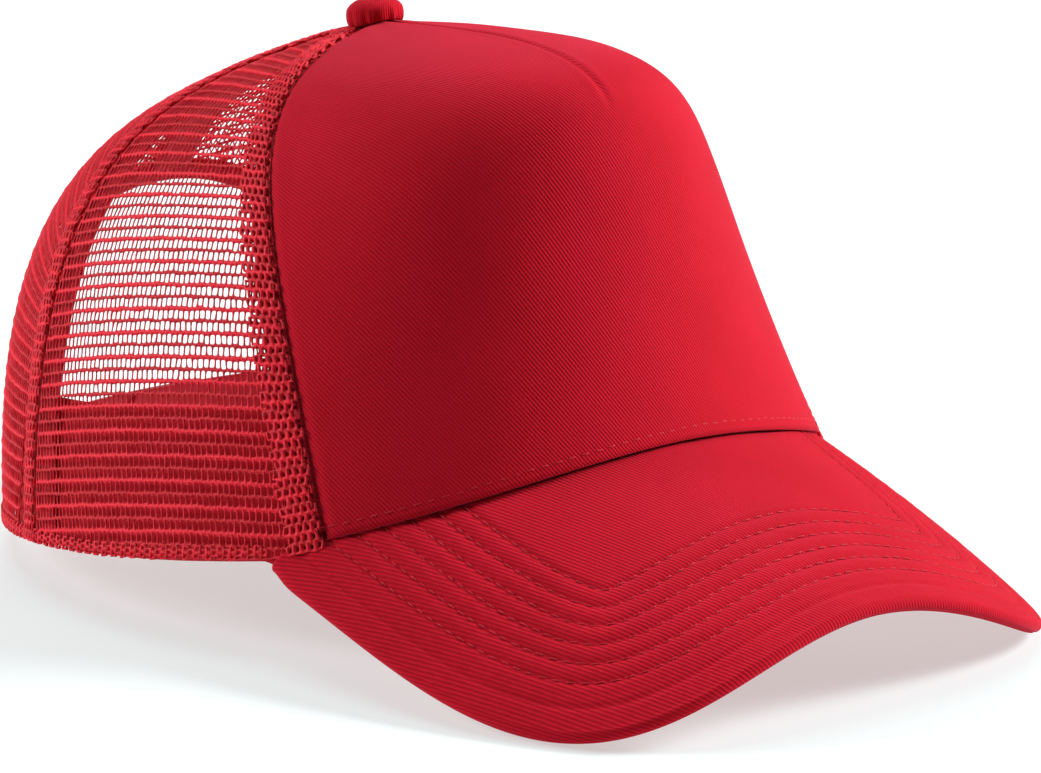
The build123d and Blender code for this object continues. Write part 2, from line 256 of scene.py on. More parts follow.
# ---- materials -----------------------------------------------------------------------------
class Nodes:
    """A short way to write a material's nodes."""

    def __init__(self, name, roughness=0.8, sheen=0.0, sheen_tint=(1, 1, 1), sheen_rough=0.5, specular=0.3):
        self.material = bpy.data.materials.new(name)
        self.material.use_nodes = True
        self.tree = self.material.node_tree
        self.shader = self.tree.nodes["Principled BSDF"]
        inputs = self.shader.inputs
        inputs["Roughness"].default_value = roughness
        inputs["Sheen Weight"].default_value = sheen
        inputs["Sheen Roughness"].default_value = sheen_rough
        inputs["Sheen Tint"].default_value = (*sheen_tint, 1)
        inputs["Specular IOR Level"].default_value = specular

    def feed(self, value, socket):
        """Give a socket a plain value, or link another node's output to it."""
        if isinstance(value, bpy.types.NodeSocket):
            self.tree.links.new(value, socket)
        else:
            socket.default_value = value

    def add(self, kind, **inputs):
        node = self.tree.nodes.new(kind)
        for key, value in inputs.items():
            self.feed(value, node.inputs[key])
        return node

    def math(self, operation, a, b=0.0):
        node = self.tree.nodes.new("ShaderNodeMath")
        node.operation = operation
        self.feed(a, node.inputs[0])
        self.feed(b, node.inputs[1])
        return node.outputs[0]

    def mix(self, factor, a, b):
        """A blend of two colours, each given as red, green and blue."""
        node = self.tree.nodes.new("ShaderNodeMix")
        node.data_type = "RGBA"
        self.feed(factor, node.inputs[0])
        self.feed((*a, 1), node.inputs[6])
        self.feed((*b, 1), node.inputs[7])
        return node.outputs[2]

    def coords(self, cloth, scale=(1, 1, 1), turn=0.0):
        """Places on the cloth, in units of 100 mm, or else in the object's space, in metres."""
        source = self.add("ShaderNodeTexCoord")
        place = self.add("ShaderNodeMapping")
        place.inputs["Scale"].default_value = scale
        place.inputs["Rotation"].default_value = (0, 0, turn)
        self.tree.links.new(source.outputs["UV" if cloth else "Object"], place.inputs["Vector"])
        return place.outputs[0]

    def noise(self, vector, scale, detail=3.0):
        node = self.add("ShaderNodeTexNoise", Vector=vector, Scale=scale, Detail=detail, Roughness=0.55)
        return node.outputs["Fac"]

    def wave(self, vector, scale, distortion=0.0, detail_scale=1.0):
        node = self.add("ShaderNodeTexWave", Vector=vector, Scale=scale, Distortion=distortion)
        node.inputs["Detail Scale"].default_value = detail_scale
        return node.outputs["Fac"]

    def bump(self, height, distance, strength):
        return self.add("ShaderNodeBump", Height=height, Distance=distance, Strength=strength).outputs[0]

    def finish(self, color, normal=None, rough=None):
        self.tree.links.new(color, self.shader.inputs["Base Color"])
        if normal is not None:
            self.tree.links.new(normal, self.shader.inputs["Normal"])
        if rough is not None:
            self.tree.links.new(rough, self.shader.inputs["Roughness"])
        return self.material


WAVE_BAND = math.pi / 10  # the wave texture makes one band in this length at scale 1


def twill(name, pitch, turn, deep, light):
    """Cotton twill: diagonal ribs, a pitch in millimetres apart, broken into short floats."""
    n = Nodes(name, 0.86, 0.22, (1.0, 0.22, 0.36), 0.4, 0.08)
    across = n.coords(True, turn=turn)
    ribs = n.wave(across, 100 / pitch * WAVE_BAND, 0.35, 3.0)
    floats = n.noise(n.coords(True, (1, 2.2, 1), turn), 210.0, 2.0)
    fuzz = n.noise(n.coords(True), 900.0, 2.0)
    cloudy = n.noise(n.coords(True), 6.0, 3.0)
    rib = n.math("MULTIPLY", ribs, n.math("ADD", n.math("MULTIPLY", floats, 0.3), 0.7))
    tone = n.math("ADD", n.math("MULTIPLY", rib, 0.75), n.math("MULTIPLY", fuzz, 0.25))
    tone = n.math("ADD", tone, n.math("MULTIPLY", n.math("SUBTRACT", cloudy, 0.5), 0.35))
    height = n.math("ADD", rib, n.math("MULTIPLY", fuzz, 0.3))
    roughness = n.math("ADD", n.math("MULTIPLY", rib, -0.1), 0.9)
    return n.finish(n.mix(tone, deep, light), n.bump(height, 0.00011, 0.75), roughness)


def yarn(name, deep, light, sheen, rows=False):
    """Plied thread: fine slanting lines and uneven dye. rows lightens every other row line of a net."""
    n = Nodes(name, 0.55, sheen, (1.0, 0.3, 0.4), 0.4, 0.22)
    spot = n.coords(False)
    lines = n.wave(n.coords(False, turn=0.7), 420.0, 2.5, 2.0)
    if rows:
        split = n.add("ShaderNodeSeparateXYZ", Vector=n.coords(True))
        beat = n.math("COSINE", n.math("MULTIPLY", split.outputs[1], math.pi))
        lines = n.math("ADD", lines, n.math("MULTIPLY", beat, 0.7))
    grain = n.noise(spot, 1500.0, 3.0)
    patch = n.noise(spot, 45.0, 2.0)
    tone = n.math("ADD", n.math("MULTIPLY", lines, 0.35), n.math("MULTIPLY", grain, 0.4))
    tone = n.math("ADD", tone, n.math("MULTIPLY", patch, 0.3))
    return n.finish(n.mix(tone, deep, light), n.bump(tone, 0.00012, 0.8))


def woven(name, deep, light, pitch=0.6, sheen=0.3):
    """A plain weave in object space, for tapes, lining and labels."""
    n = Nodes(name, 0.85, sheen, (1.0, 0.5, 0.5), 0.45, 0.2)
    k = WAVE_BAND / (pitch / 1000)
    warp = n.wave(n.coords(False, turn=0.3), k, 0.4)
    tilted = n.coords(False)
    weft = n.add("ShaderNodeTexWave", Vector=tilted, Scale=k, Distortion=0.4)
    weft.bands_direction = "Z"
    both = n.math("MULTIPLY", warp, weft.outputs["Fac"])
    fuzz = n.noise(tilted, 1200.0, 2.0)
    tone = n.math("ADD", n.math("MULTIPLY", both, 0.6), n.math("MULTIPLY", fuzz, 0.4))
    return n.finish(n.mix(tone, deep, light), n.bump(tone, 0.00015, 0.7))


def plain(name, deep, light, rough, scale, metallic=0.0, depth=0.00005):
    """Plastic or metal with a fine grain."""
    n = Nodes(name, rough, specular=0.5)
    n.shader.inputs["Metallic"].default_value = metallic
    grain = n.noise(n.coords(False), scale, 4.0)
    wide = n.noise(n.coords(False), 60.0, 2.0)
    tone = n.math("ADD", n.math("MULTIPLY", grain, 0.5), n.math("MULTIPLY", wide, 0.5))
    roughness = n.math("ADD", n.math("MULTIPLY", wide, 0.15), rough - 0.07)
    return n.finish(n.mix(tone, deep, light), n.bump(grain, depth, 0.5), roughness)


RED_DEEP, RED_LIGHT = (0.33, 0.0028, 0.0085), (0.64, 0.0060, 0.026)
front_twill = twill("front_twill", 0.70, math.radians(-28), RED_DEEP, RED_LIGHT)
bill_twill = twill("bill_twill", 0.74, math.radians(-20), RED_DEEP, RED_LIGHT)
button_twill = twill("button_twill", 0.46, math.radians(45), (0.40, 0.0034, 0.011), (0.53, 0.0048, 0.019))
net_yarn = yarn("net_yarn", (0.50, 0.0045, 0.012), (0.97, 0.016, 0.040), 0.3, rows=True)
thread = yarn("thread", (0.34, 0.004, 0.012), (0.62, 0.014, 0.032), 0.15)
tape_weave = woven("tape_weave", (0.36, 0.004, 0.012), (0.70, 0.010, 0.030))
band_cotton = woven("band_cotton", (0.42, 0.005, 0.014), (0.80, 0.012, 0.032), 0.5, 0.2)
buckram = woven("buckram", (0.55, 0.50, 0.46), (0.82, 0.78, 0.72), 0.9, 0.1)
label_satin = woven("label_satin", (0.72, 0.70, 0.67), (0.90, 0.89, 0.87), 0.35, 0.2)
board = plain("board", (0.62, 0.61, 0.58), (0.78, 0.77, 0.74), 0.5, 900.0)
strap_plastic = plain(
    "strap_plastic", (0.42, 0.006, 0.016), (0.56, 0.010, 0.026), 0.36, 700.0, depth=0.00003)
button_metal = plain("button_metal", (0.55, 0.55, 0.55), (0.72, 0.72, 0.72), 0.35, 500.0, metallic=1.0)

for node, material in {
    "front_buckram": buckram, "tape_front_right": tape_weave, "tape_front_left": tape_weave,
    "tape_side_right": tape_weave, "tape_side_left": tape_weave, "tape_rear_centre": tape_weave,
    "sweatband_backing": band_cotton, "care_label": label_satin, "bill_stiffener": board,
    "bill_rim_roll": bill_twill, "button_shell": button_metal, "button_rivet": button_metal,
    "strap_tab_right": strap_plastic, "strap_tab_left": strap_plastic,
    "strap_with_holes": strap_plastic, "strap_with_pegs": strap_plastic,
}.items():
    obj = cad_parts[node]
    obj.data.materials.clear()
    obj.data.materials.append(material)

# ---- front panel -----------------------------------------------------------------------------
def panel_start(a):
    """The t where the front panel begins, a little above the hem along the bill."""
    return 0.0075 * np.clip((BILL_CORNER + 8.5 - np.abs(np.degrees(a))) / 4, 0, 1)


rows, columns = 190, 260
v = np.linspace(0, 1, rows)[:, None]
s = np.linspace(-1, 1, columns)[None, :]
edge_t = v * top_t(seam(FRONT_SEAM, v))
half = seam(FRONT_SEAM, edge_t) - math.radians(0.25)
a = s * half
low = panel_start(a)
t = low + (top_t(a) - low) * v
rho = radius_at(a, t)
run, table = climb(0.0)
height = np.interp(t, table, run)
to_seam = (half - np.abs(a)) * rho
dart_side = np.abs(a) * rho
dart_on = np.clip((height - 72) / 8, 0, 1)
roll = 0.55 * np.exp(-((to_seam / 1.1) ** 2))
hem_roll = 0.35 * np.exp(-((height / 0.9) ** 2))
dart_fold = 0.55 * np.exp(-((dart_side / 0.55) ** 2))
dart_ridge = 0.12 * np.exp(-(((dart_side - 2.0) / 1.0) ** 2))
dart = dart_on * (dart_fold - dart_ridge)
stitch_row = 0.18 * np.exp(-(((height - 2.6) / 0.5) ** 2))
soft = 0.22 * noise(a * 75, height, 46, 4) * np.clip(to_seam / 12, 0, 1) * np.clip(height / 12, 0, 1)
outer = crown_at(a, t, roll + hem_roll + dart + stitch_row - soft * 0.6)
inner = crown_at(a, t, 0.95 + 0 * t)
verts, faces = shell(outer, inner)
uv = np.stack([a * rho, height], -1).reshape(-1, 2)
uv = np.concatenate([uv, uv])
front = piece("front_panel_twill", verts, faces, front_twill, ["front_panel"], uv=uv)

# ---- netting -----------------------------------------------------------------------------------
NET_ACROSS, NET_UP = 0.76, 0.68  # a half cell across and a quarter cell up, millimetres
NET_STEPS = 70  # half cells to each side of a panel's centre line


def trace(centre, chord):
    """Points on the crown in even rows, as flat netting would lie: the rows run along the hem's chord.

    centre gives the angle of the panel's centre line at t. Returns the angle and t of each point.
    """
    fine = np.linspace(0.0, 0.985, 900)
    line = crown(centre(fine), fine)
    run = np.r_[0, np.cumsum(np.linalg.norm(np.diff(line, axis=0), axis=1))]
    at = np.arange(-16, run[-1], NET_UP)  # from below the hem, because the turned rows rise at one side
    t0 = np.where(at < 0, fine[0] + at * (fine[1] - fine[0]) / run[1], np.interp(at, run, fine))
    a0 = centre(t0)
    climb_dir = unit(crown(centre(t0 + 0.004), t0 + 0.004) - crown(centre(t0 - 0.004), t0 - 0.004))
    facing = outward(a0, t0)
    square_on = unit(np.cross(climb_dir, facing))
    chord = chord - facing[0] * (chord @ facing[0])
    turned = math.atan2(np.cross(square_on[0], chord) @ facing[0], square_on[0] @ chord)
    level = square_on * math.cos(turned) + np.cross(facing, square_on) * math.sin(turned)
    sides = []
    for sign in (-1, 1):
        a, t = a0.copy(), t0.copy()
        p = crown(a, t)
        d = sign * level
        got = [(a, t)]
        for _ in range(NET_STEPS):
            goal = p + d * NET_ACROSS
            for _ in range(3):  # Newton's steps to the point of the crown nearest the goal
                here = crown(a, t)
                e = 0.001
                ja = (crown(a + e, t) - here) / e
                jt = (crown(a, t + e) - here) / e
                miss = goal - here
                aa, at_, tt = (ja * ja).sum(-1), (ja * jt).sum(-1), (jt * jt).sum(-1)
                ma, mt = (ja * miss).sum(-1), (jt * miss).sum(-1)
                det = np.maximum(aa * tt - at_ * at_, 1e-3)
                a = a + np.clip((ma * tt - mt * at_) / det, -0.3, 0.3)
                t = np.clip(t + np.clip((mt * aa - ma * at_) / det, -0.05, 0.05), -0.14, 0.997)
            now = crown(a, t)
            n = outward(a, t)
            d = unit(now - p)
            d = unit(d - n * (d * n).sum(-1, keepdims=True))
            p = now
            got.append((a, t))
        sides.append(got)
    line = sides[0][::-1] + sides[1][1:]
    return np.stack([x[0] for x in line], 1), np.stack([x[1] for x in line], 1)


def net(
    name, points, normals, keep, replaces, seed,
    hole=(0.365, 0.36), lift=(0.33, 0.19), sway=0.11, loops=0.022,
):
    """Netting with a rounded hole in each cell: 4 rows and 2 columns of points to a cell.

    hole is each hole's half size as a share of its cell, lift is the half thickness of the
    yarn on the row lines and on the uprights, sway is how far points wander along the cloth,
    and loops moves the holes of every other row up and the rest down.
    """
    r = np.random.default_rng(seed)
    ni, nj = points.shape[:2]
    across = unit(np.gradient(points, axis=1))
    upward = unit(np.gradient(points, axis=0))
    loose = r.normal(0, sway, (ni, nj, 2)) * keep[..., None]
    for axis in (0, 1):
        loose = (np.roll(loose, 1, axis) + 2 * loose + np.roll(loose, -1, axis)) / 3
    points = points + across * loose[..., :1] + upward * loose[..., 1:]
    line = np.arange(ni) % 8
    thick = np.select([line == 0, line == 4], [lift[0] * 1.1, lift[0] * 0.85], lift[1])
    thick = thick[:, None] * r.uniform(0.85, 1.15, (ni, nj))
    top = points + normals * thick[..., None]
    bottom = points - normals * thick[..., None]
    index = np.arange(ni * nj).reshape(ni, nj)
    # cell outlines, anticlockwise from outside, starting at the lower left corner
    ring_i = np.array([0, 0, 0, 1, 2, 3, 4, 4, 4, 3, 2, 1])
    ring_j = np.array([0, 1, 2, 2, 2, 2, 2, 1, 0, 0, 0, 0])
    cells = []
    for row, i in enumerate(range(0, ni - 4, 4)):
        j = np.arange(row % 2, nj - 2, 2)
        cells.append(np.stack([np.full_like(j, i), j], -1))
    cells = np.concatenate(cells)
    inside = keep[cells[:, 0] + 2, cells[:, 1] + 1]
    cells = cells[inside]
    gi, gj = cells[:, :1] + ring_i, cells[:, 1:] + ring_j
    outline = index[gi, gj]
    corner = points[gi, gj]
    low_l, low_r, up_r, up_l = corner[:, 0], corner[:, 2], corner[:, 6], corner[:, 8]
    n = len(cells)
    cx = np.array([-0.8, 0, 0.8, 1.0, 1.03, 1.0, 0.8, 0, -0.8, -1.0, -1.03, -1.0])
    cy = np.array([-0.93, -1, -0.93, -0.6, 0, 0.6, 0.93, 1, 0.93, 0.6, 0, -0.6])
    size_x = hole[0] * r.uniform(0.86, 1.08, (n, 1))
    size_y = hole[1] * r.uniform(0.86, 1.06, (n, 1))
    slant = r.normal(0.05, 0.07, (n, 1))
    u = 0.5 + size_x * cx + slant * cy * 0.5 + r.normal(0, 0.012, (n, 12))
    w = 0.5 + size_y * cy + r.normal(0, 0.02, (n, 1)) + loops * np.where(cells[:, :1] // 4 % 2 == 0, 1, -1)
    u, w = u[..., None], w[..., None]
    low_side = low_l[:, None] * (1 - u) + low_r[:, None] * u
    up_side = up_l[:, None] * (1 - u) + up_r[:, None] * u
    rim = low_side * (1 - w) + up_side * w
    used = np.unique(outline)
    remap = -np.ones(ni * nj, dtype=np.int64)
    remap[used] = np.arange(len(used))
    o = remap[outline]
    m = len(used)
    hole_index = 2 * m + np.arange(n * 12).reshape(n, 12)
    k = (np.arange(12) + 1) % 12
    upper = np.stack([o, o[:, k], hole_index[:, k], hole_index], -1).reshape(-1, 4)
    lower = np.stack([o + m, hole_index, hole_index[:, k], o[:, k] + m], -1).reshape(-1, 4)
    edges = np.stack([o, o[:, k]], -1).reshape(-1, 2)
    key = np.sort(edges, 1)
    _, inverse, counts = np.unique(key, axis=0, return_inverse=True, return_counts=True)
    rimmed = edges[counts[inverse.ravel()] == 1]
    sides = np.stack([rimmed[:, 1], rimmed[:, 0], rimmed[:, 0] + m, rimmed[:, 1] + m], -1)
    verts = np.concatenate([top.reshape(-1, 3)[used], bottom.reshape(-1, 3)[used], rim.reshape(-1, 3)])
    spot = np.stack(np.meshgrid(np.arange(nj) / 2, np.arange(ni) / 4), -1).reshape(-1, 2)[used] * 100
    hole_u = gj.mean(1)[:, None] / 2 + u[..., 0] - 0.5
    hole_v = gi.mean(1)[:, None] / 4 + w[..., 0] - 0.5
    hole_spot = np.stack([hole_u, hole_v], -1).reshape(-1, 2) * 100
    uv = np.concatenate([spot, spot, hole_spot])
    faces = np.concatenate([upper, lower, sides])
    return piece(name, verts, faces, net_yarn, replaces, uv=uv)


def in_arch(p, extra):
    """True where a level point is inside the rear opening grown by extra."""
    w, h = ARCH_W + extra, ARCH_H + extra
    x = np.abs(p[..., 0]) / w
    z = np.clip(p[..., 2], 0, None) / h
    return (x**ARCH_POWER + z**ARCH_POWER < 1) & (p[..., 1] > 0)


def panel_net(name, node, left, right, seed):
    """left and right give the seams' angles at t, right being the greater."""
    chord = hem(np.array([right(0.0)]))[0] - hem(np.array([left(0.0)]))[0]
    a, t = trace(lambda x: (left(x) + right(x)) / 2, chord)
    lo, hi = left(t) + math.radians(0.15), right(t) - math.radians(0.15)
    rho = radius_at(a, t)
    slack = 0.7 / rho
    keep = (a > lo - slack) & (a < hi + slack) & (t > -0.004) & (t < top_t(a, 3.5))
    a, t = np.clip(a, lo, hi), np.clip(t, 0.0, None)
    t = np.minimum(t, top_t(a))
    p = crown_at(a, t, 0.55)
    keep &= ~in_arch(p, 2.4)
    return net(name, p, outward(a, t), keep, [node], seed)


front_right, front_left = seam_line(FRONT_SEAM, -1), seam_line(FRONT_SEAM, 1)
rear_right, rear_left = seam_line(REAR_SEAM, -1), seam_line(REAR_SEAM, 1)


def rear_middle(t):
    return math.pi + 0 * t


def rear_middle_negative(t):
    return -math.pi + 0 * t


nets = [
    panel_net("net_side_right", "mesh_side_right", rear_right, front_right, 11),
    panel_net("net_side_left", "mesh_side_left", front_left, rear_left, 12),
    panel_net("net_rear_right", "mesh_rear_right", rear_middle_negative, rear_right, 13),
    panel_net("net_rear_left", "mesh_rear_left", rear_left, rear_middle, 14),
]


def rounded(name, node, at, material, thick, inset, rows, columns, wave=0.0, seed=1):
    """A strip of cloth with soft edges. at(s, v) gives its angle and t for s across and v up, 0 to 1.

    thick is its thickness, inset how far its outer face lies behind the crown's surface, and
    wave the height of its slow waves.
    """
    s, v = np.meshgrid(np.linspace(0, 1, columns), np.linspace(0, 1, rows))
    # more rows at the edges, where the cloth turns over
    s, v = (1 - np.cos(s * math.pi)) / 2 * 0.4 + s * 0.6, (1 - np.cos(v * math.pi)) / 2 * 0.4 + v * 0.6
    a, t = at(s, v)
    across = np.sqrt(np.clip(1 - np.abs(2 * s - 1) ** 12, 0, 1))
    swell = across * np.sqrt(np.clip(1 - np.abs(2 * v - 1) ** 12, 0, 1))
    half = thick / 2 * (0.35 + 0.65 * swell)
    rho = radius_at(a, t)
    height = t * 3 * around(RISE, a)
    middle = inset + thick / 2 + wave * noise(a * rho, height, 17, seed)
    verts, faces = shell(crown_at(a, t, middle - half), crown_at(a, t, middle + half))
    uv = np.stack([a * rho, height], -1).reshape(-1, 2)
    return piece(name, verts, faces, material, [node], uv=np.concatenate([uv, uv]))


def crown_line(a, t, inset):
    """Points along the crown and the directions away from it, as stitches() takes them."""
    return crown_at(a, t, inset), outward(a, t)


def side_of(line, t, distance):
    """The angle a distance in millimetres beyond a seam's line at each t."""
    a = line(t)
    return a + distance / radius_at(a, t)


# ---- lining, tapes, sweatband and label ----------------------------------------------------------
inner_row = []


def tape(name, node, line, first, last):
    def at(s, v):
        t = first + (last - first) * v
        return line(t) + (s - 0.5) * TAPE_WIDTH / radius_at(line(t), t), t

    made = rounded(name, node, at, tape_weave, 0.9, 1.5, 150, 14, wave=0.05, seed=8)
    t = np.linspace(first + 0.01, last - 0.01, 160)
    for edge in (-4.6, 4.6):
        p, n = crown_line(side_of(line, t, edge), t, 2.4)
        inner_row.append((p, -n))
    return made


run, table = climb(math.pi)
arch_t = float(np.interp(ARCH_H + BINDING + 1.5, run, table))
tapes = [
    tape("seam_tape_front_right", "tape_front_right", front_right, 0.016, 0.9),
    tape("seam_tape_front_left", "tape_front_left", front_left, 0.016, 0.9),
    tape("seam_tape_side_right", "tape_side_right", rear_right, 0.0, 0.9),
    tape("seam_tape_side_left", "tape_side_left", rear_left, 0.0, 0.9),
    tape("seam_tape_rear", "tape_rear_centre", rear_middle, arch_t, 0.93),
]


def buckram_at(s, v):
    t = 0.014 + 0.886 * v
    half = seam(FRONT_SEAM, t) - 7.5 / radius_at(seam(FRONT_SEAM, t), t)
    return (2 * s - 1) * half, t


lining = rounded("front_lining", "front_buckram", buckram_at, buckram, 0.8, 1.3, 130, 130)


def band_at(height, drop):
    """A sweatband's place: its height, and how far it drops below the hem across the bill."""

    def at(s, v):
        a = math.radians(144.5) * (2 * s - 1)
        share = np.clip((BILL_CORNER + 3 - np.degrees(np.abs(a))) / 5, 0, 1)
        scale = near_hem(a)
        low = -drop * share / scale
        return a, low + (height * 1.06 / scale - low) * v

    return at


band_back = rounded(
    "sweatband_back", "sweatband_backing", band_at(31.5, 2.6), band_cotton,
    0.7, 3.1, 30, 420, wave=0.04, seed=21)
band = rounded(
    "sweatband_face", "sweatband", band_at(33.0, 3.0), band_cotton,
    1.1, 4.0, 34, 420, wave=0.10, seed=22)
a = np.radians(np.linspace(-143, 143, 900))
for up in (4.0, 28.5):
    p, n = crown_line(a, up / near_hem(a), 5.12)
    inner_row.append((p, -n))


def label_at(s, v):
    return np.radians(112 + 14 * s), 0.03 + 0.075 * v


label = rounded(
    "care_label_blank", "care_label", label_at, label_satin,
    0.4, 5.4, 30, 40, wave=0.12, seed=23)
inner_stitches = stitches("inside_stitches", inner_row, 2.2, 0.7, 0.16, thread, sink=0.02)

# ---- bill -----------------------------------------------------------------------------------------
corner = math.radians(BILL_CORNER)
bill_w, bill_back = HALF_WIDTH * math.sin(corner), -HALF_DEPTH * math.cos(corner)


def lift_bill(xy, depth=0.0):
    """Points of the bill at these level places, a depth below its top face, and the directions up."""
    x, y = xy[..., 0], xy[..., 1]
    sx = bill_z(x + 0.5, y) - bill_z(x - 0.5, y)
    sy = bill_z(x, y + 0.5) - bill_z(x, y - 0.5)
    normal = unit(np.stack([-sx, -sy, np.ones_like(sx)], -1))
    return np.stack([x, y, bill_z(x, y)], -1) - normal * np.asarray(depth)[..., None], normal


def outline(inset, count):
    """Even points round the bill's front edge, from corner to corner."""
    a = np.linspace(-math.pi / 2, math.pi / 2, 6001)
    q = 2 / BILL_SQUARE
    x = (bill_w - inset) * np.sign(np.sin(a)) * np.abs(np.sin(a)) ** q
    y = bill_back - (BILL_REACH - inset) * np.abs(np.cos(a)) ** q
    run = np.r_[0, np.cumsum(np.hypot(np.diff(x), np.diff(y)))]
    at = np.linspace(0, run[-1], count)
    return np.stack([np.interp(at, run, x), np.interp(at, run, y)], -1)


columns, top_rows, under_rows, rim_rows = 420, 116, 40, 13
RIM_RADIUS = 1.75
BILL_OVERHANG = 1.4  # how far the cloth stands out round the board's edge
QUILTED_REACH = 35.5  # from the front edge to the last row of stitching, with a little more
outer = outline(0, columns)
tangent = unit(np.gradient(outer, axis=0))
away = np.stack([tangent[:, 1], -tangent[:, 0]], -1)
from_end = np.minimum(np.arange(columns), np.arange(columns)[::-1]) / columns * 300
outer = outer + away * (BILL_OVERHANG - 0.9 * np.exp(-((from_end / 4.0) ** 2)))[:, None]
a = np.linspace(-1, 1, columns) * math.radians(BILL_CORNER - 2.0)
inner = np.stack([(HALF_WIDTH - 2.1) * np.sin(a), -(HALF_DEPTH - 2.1) * np.cos(a)], -1)
length = np.linalg.norm(outer - inner, axis=1)
edge_3d, _ = lift_bill(outline(0, 900))


def bill_rows(count, dense, reach):
    """Ray points from the hem out to the rim, closer together near the rim."""
    u = np.linspace(1, 0, count)[:, None]
    first = np.minimum(reach, dense * length)[None]
    d = np.where(u < dense, first * u / dense, first + (length - first) * (u - dense) / (1 - dense))
    return outer[None] + (inner - outer)[None] * (d / np.maximum(length, 1e-6))[..., None]


def from_edge(points):
    return np.stack([np.sqrt(((row[:, None] - edge_3d[None]) ** 2).sum(-1).min(1)) for row in points])


ROW_SPACE = 4.8
ROWS = [9.4 + ROW_SPACE * k for k in range(6)]  # each row of stitching, from the front edge
xy = bill_rows(top_rows, 0.74, QUILTED_REACH)
surface, normal = lift_bill(xy)
far = from_edge(surface)
groove = sum(np.exp(-(((far - d) / 0.42) ** 2)) for d in ROWS)
quilted = np.clip((far - 6) / 2, 0, 1) * np.clip((36 - far) / 2, 0, 1)
quilt = 0.10 * np.cos((far - ROWS[0]) * 2 * math.pi / ROW_SPACE) * quilted
dip = 0.30 * np.exp(-(((far - 3.5) / 0.75) ** 2))
soft = 0.10 * noise(xy[..., 0], xy[..., 1], 38, 31)
puckers = 0.05 * noise(xy[..., 0] * 3.2, xy[..., 1] * 3.2, 11, 32) * np.clip((33 - far) / 4, 0, 1)
top_points = surface - normal * (0.26 * groove + quilt + dip + soft + puckers)[..., None]
under_xy = bill_rows(under_rows, 0.70, QUILTED_REACH)[::-1]
under_surface, under_normal = lift_bill(under_xy)
under_far = from_edge(under_surface)
under_groove = 0.16 * sum(np.exp(-(((under_far - d) / 0.55) ** 2)) for d in ROWS)
under_soft = 0.08 * noise(under_xy[..., 0], under_xy[..., 1], 30, 33)
under_points = under_surface - under_normal * (BILL_THICK - under_groove - under_soft)[..., None]
rim_surface, rim_normal = lift_bill(outer)
beside = np.gradient(rim_surface, axis=0)
outward_bill = unit(np.cross(beside, rim_normal))
centre = rim_surface - rim_normal * (BILL_THICK / 2)
phi = np.radians(np.linspace(8, 172, rim_rows))
crease = 0.30 * np.exp(-(((np.degrees(phi) - 128) / 9) ** 2))
round_rim = outward_bill[None] * np.sin(phi)[:, None, None] + rim_normal[None] * np.cos(phi)[:, None, None]
rim_points = centre[None] + (RIM_RADIUS - crease)[:, None, None] * round_rim
sections = np.concatenate([top_points, rim_points, under_points]).transpose(1, 0, 2)[::-1]
verts, faces = loft(sections)
rim_xy = outer[None] + np.linspace(0.3, 5, rim_rows)[:, None, None] * unit(outward_bill[:, :2])[None]
uv = np.concatenate([xy, rim_xy, under_xy]).transpose(1, 0, 2)[::-1].reshape(-1, 2)
bill_nodes = ["bill_top_fabric", "bill_under_fabric", "bill_rim_roll"]
bill = piece("bill_twill_skin", verts, faces, bill_twill, bill_nodes, uv=uv)

faces_sewn = ((xy, far, 0.20, 1), (under_xy[::-1], under_far[::-1], BILL_THICK - 0.10, -1))
lines = []
for d in ROWS:
    for grid, dist, depth, flip in faces_sewn:
        got = []
        for j in range(columns):
            if dist[:, j].max() > d and dist[-1, j] < d:
                k = np.argmax(dist[:, j] < d)
                share = (dist[k - 1, j] - d) / max(dist[k - 1, j] - dist[k, j], 1e-6)
                got.append(grid[k - 1, j] + (grid[k, j] - grid[k - 1, j]) * share)
        p, n = lift_bill(np.array(got), depth)
        lines.append((p, n * flip))
bill_stitches = stitches("bill_stitches", lines, 2.3, 0.75, 0.17, thread, sink=0.02)

# ---- stitches on the front panel -------------------------------------------------------------------
a = np.radians(np.linspace(-57.5, 57.5, 700))
p, n = crown_line(a, panel_start(a) + 2.4 / near_hem(a), 0.10)
front_stitches = stitches("front_stitches", [(p, n)], 2.3, 0.75, 0.17, thread)

# ---- button -----------------------------------------------------------------------------------------
turns, rings = 180, 46
# the cover's outline, as radius and height above the crown, from under its edge up to the middle
profile = np.array([
    (3.6, 0.9), (4.4, 0.5), (5.3, 0.22), (5.95, 0.35), (6.3, 1.1), (6.4, 2.0), (6.15, 2.9), (5.35, 3.8),
    (4.0, 4.6), (2.4, 5.05), (1.0, 5.2), (0.02, 5.22)])
fine = np.linspace(0, 1, rings)
run = np.r_[0, np.cumsum(np.linalg.norm(np.diff(profile, axis=0), axis=1))]
pr, pz = np.interp(fine * run[-1], run, profile[:, 0]), np.interp(fine * run[-1], run, profile[:, 1])
for _ in range(3):
    pr[1:-1], pz[1:-1] = (pr[:-2] + 2 * pr[1:-1] + pr[2:]) / 4, (pz[:-2] + 2 * pz[1:-1] + pz[2:]) / 4
ang = np.linspace(0, 2 * math.pi, turns, endpoint=False)
pleats = 0.16 * np.cos(13 * ang + 0.8 * np.sin(3 * ang)) + 0.07 * np.cos(21 * ang)
rr = pr[:, None] + np.clip((3.6 - pz) / 2.6, 0, 1)[:, None] * pleats[None]
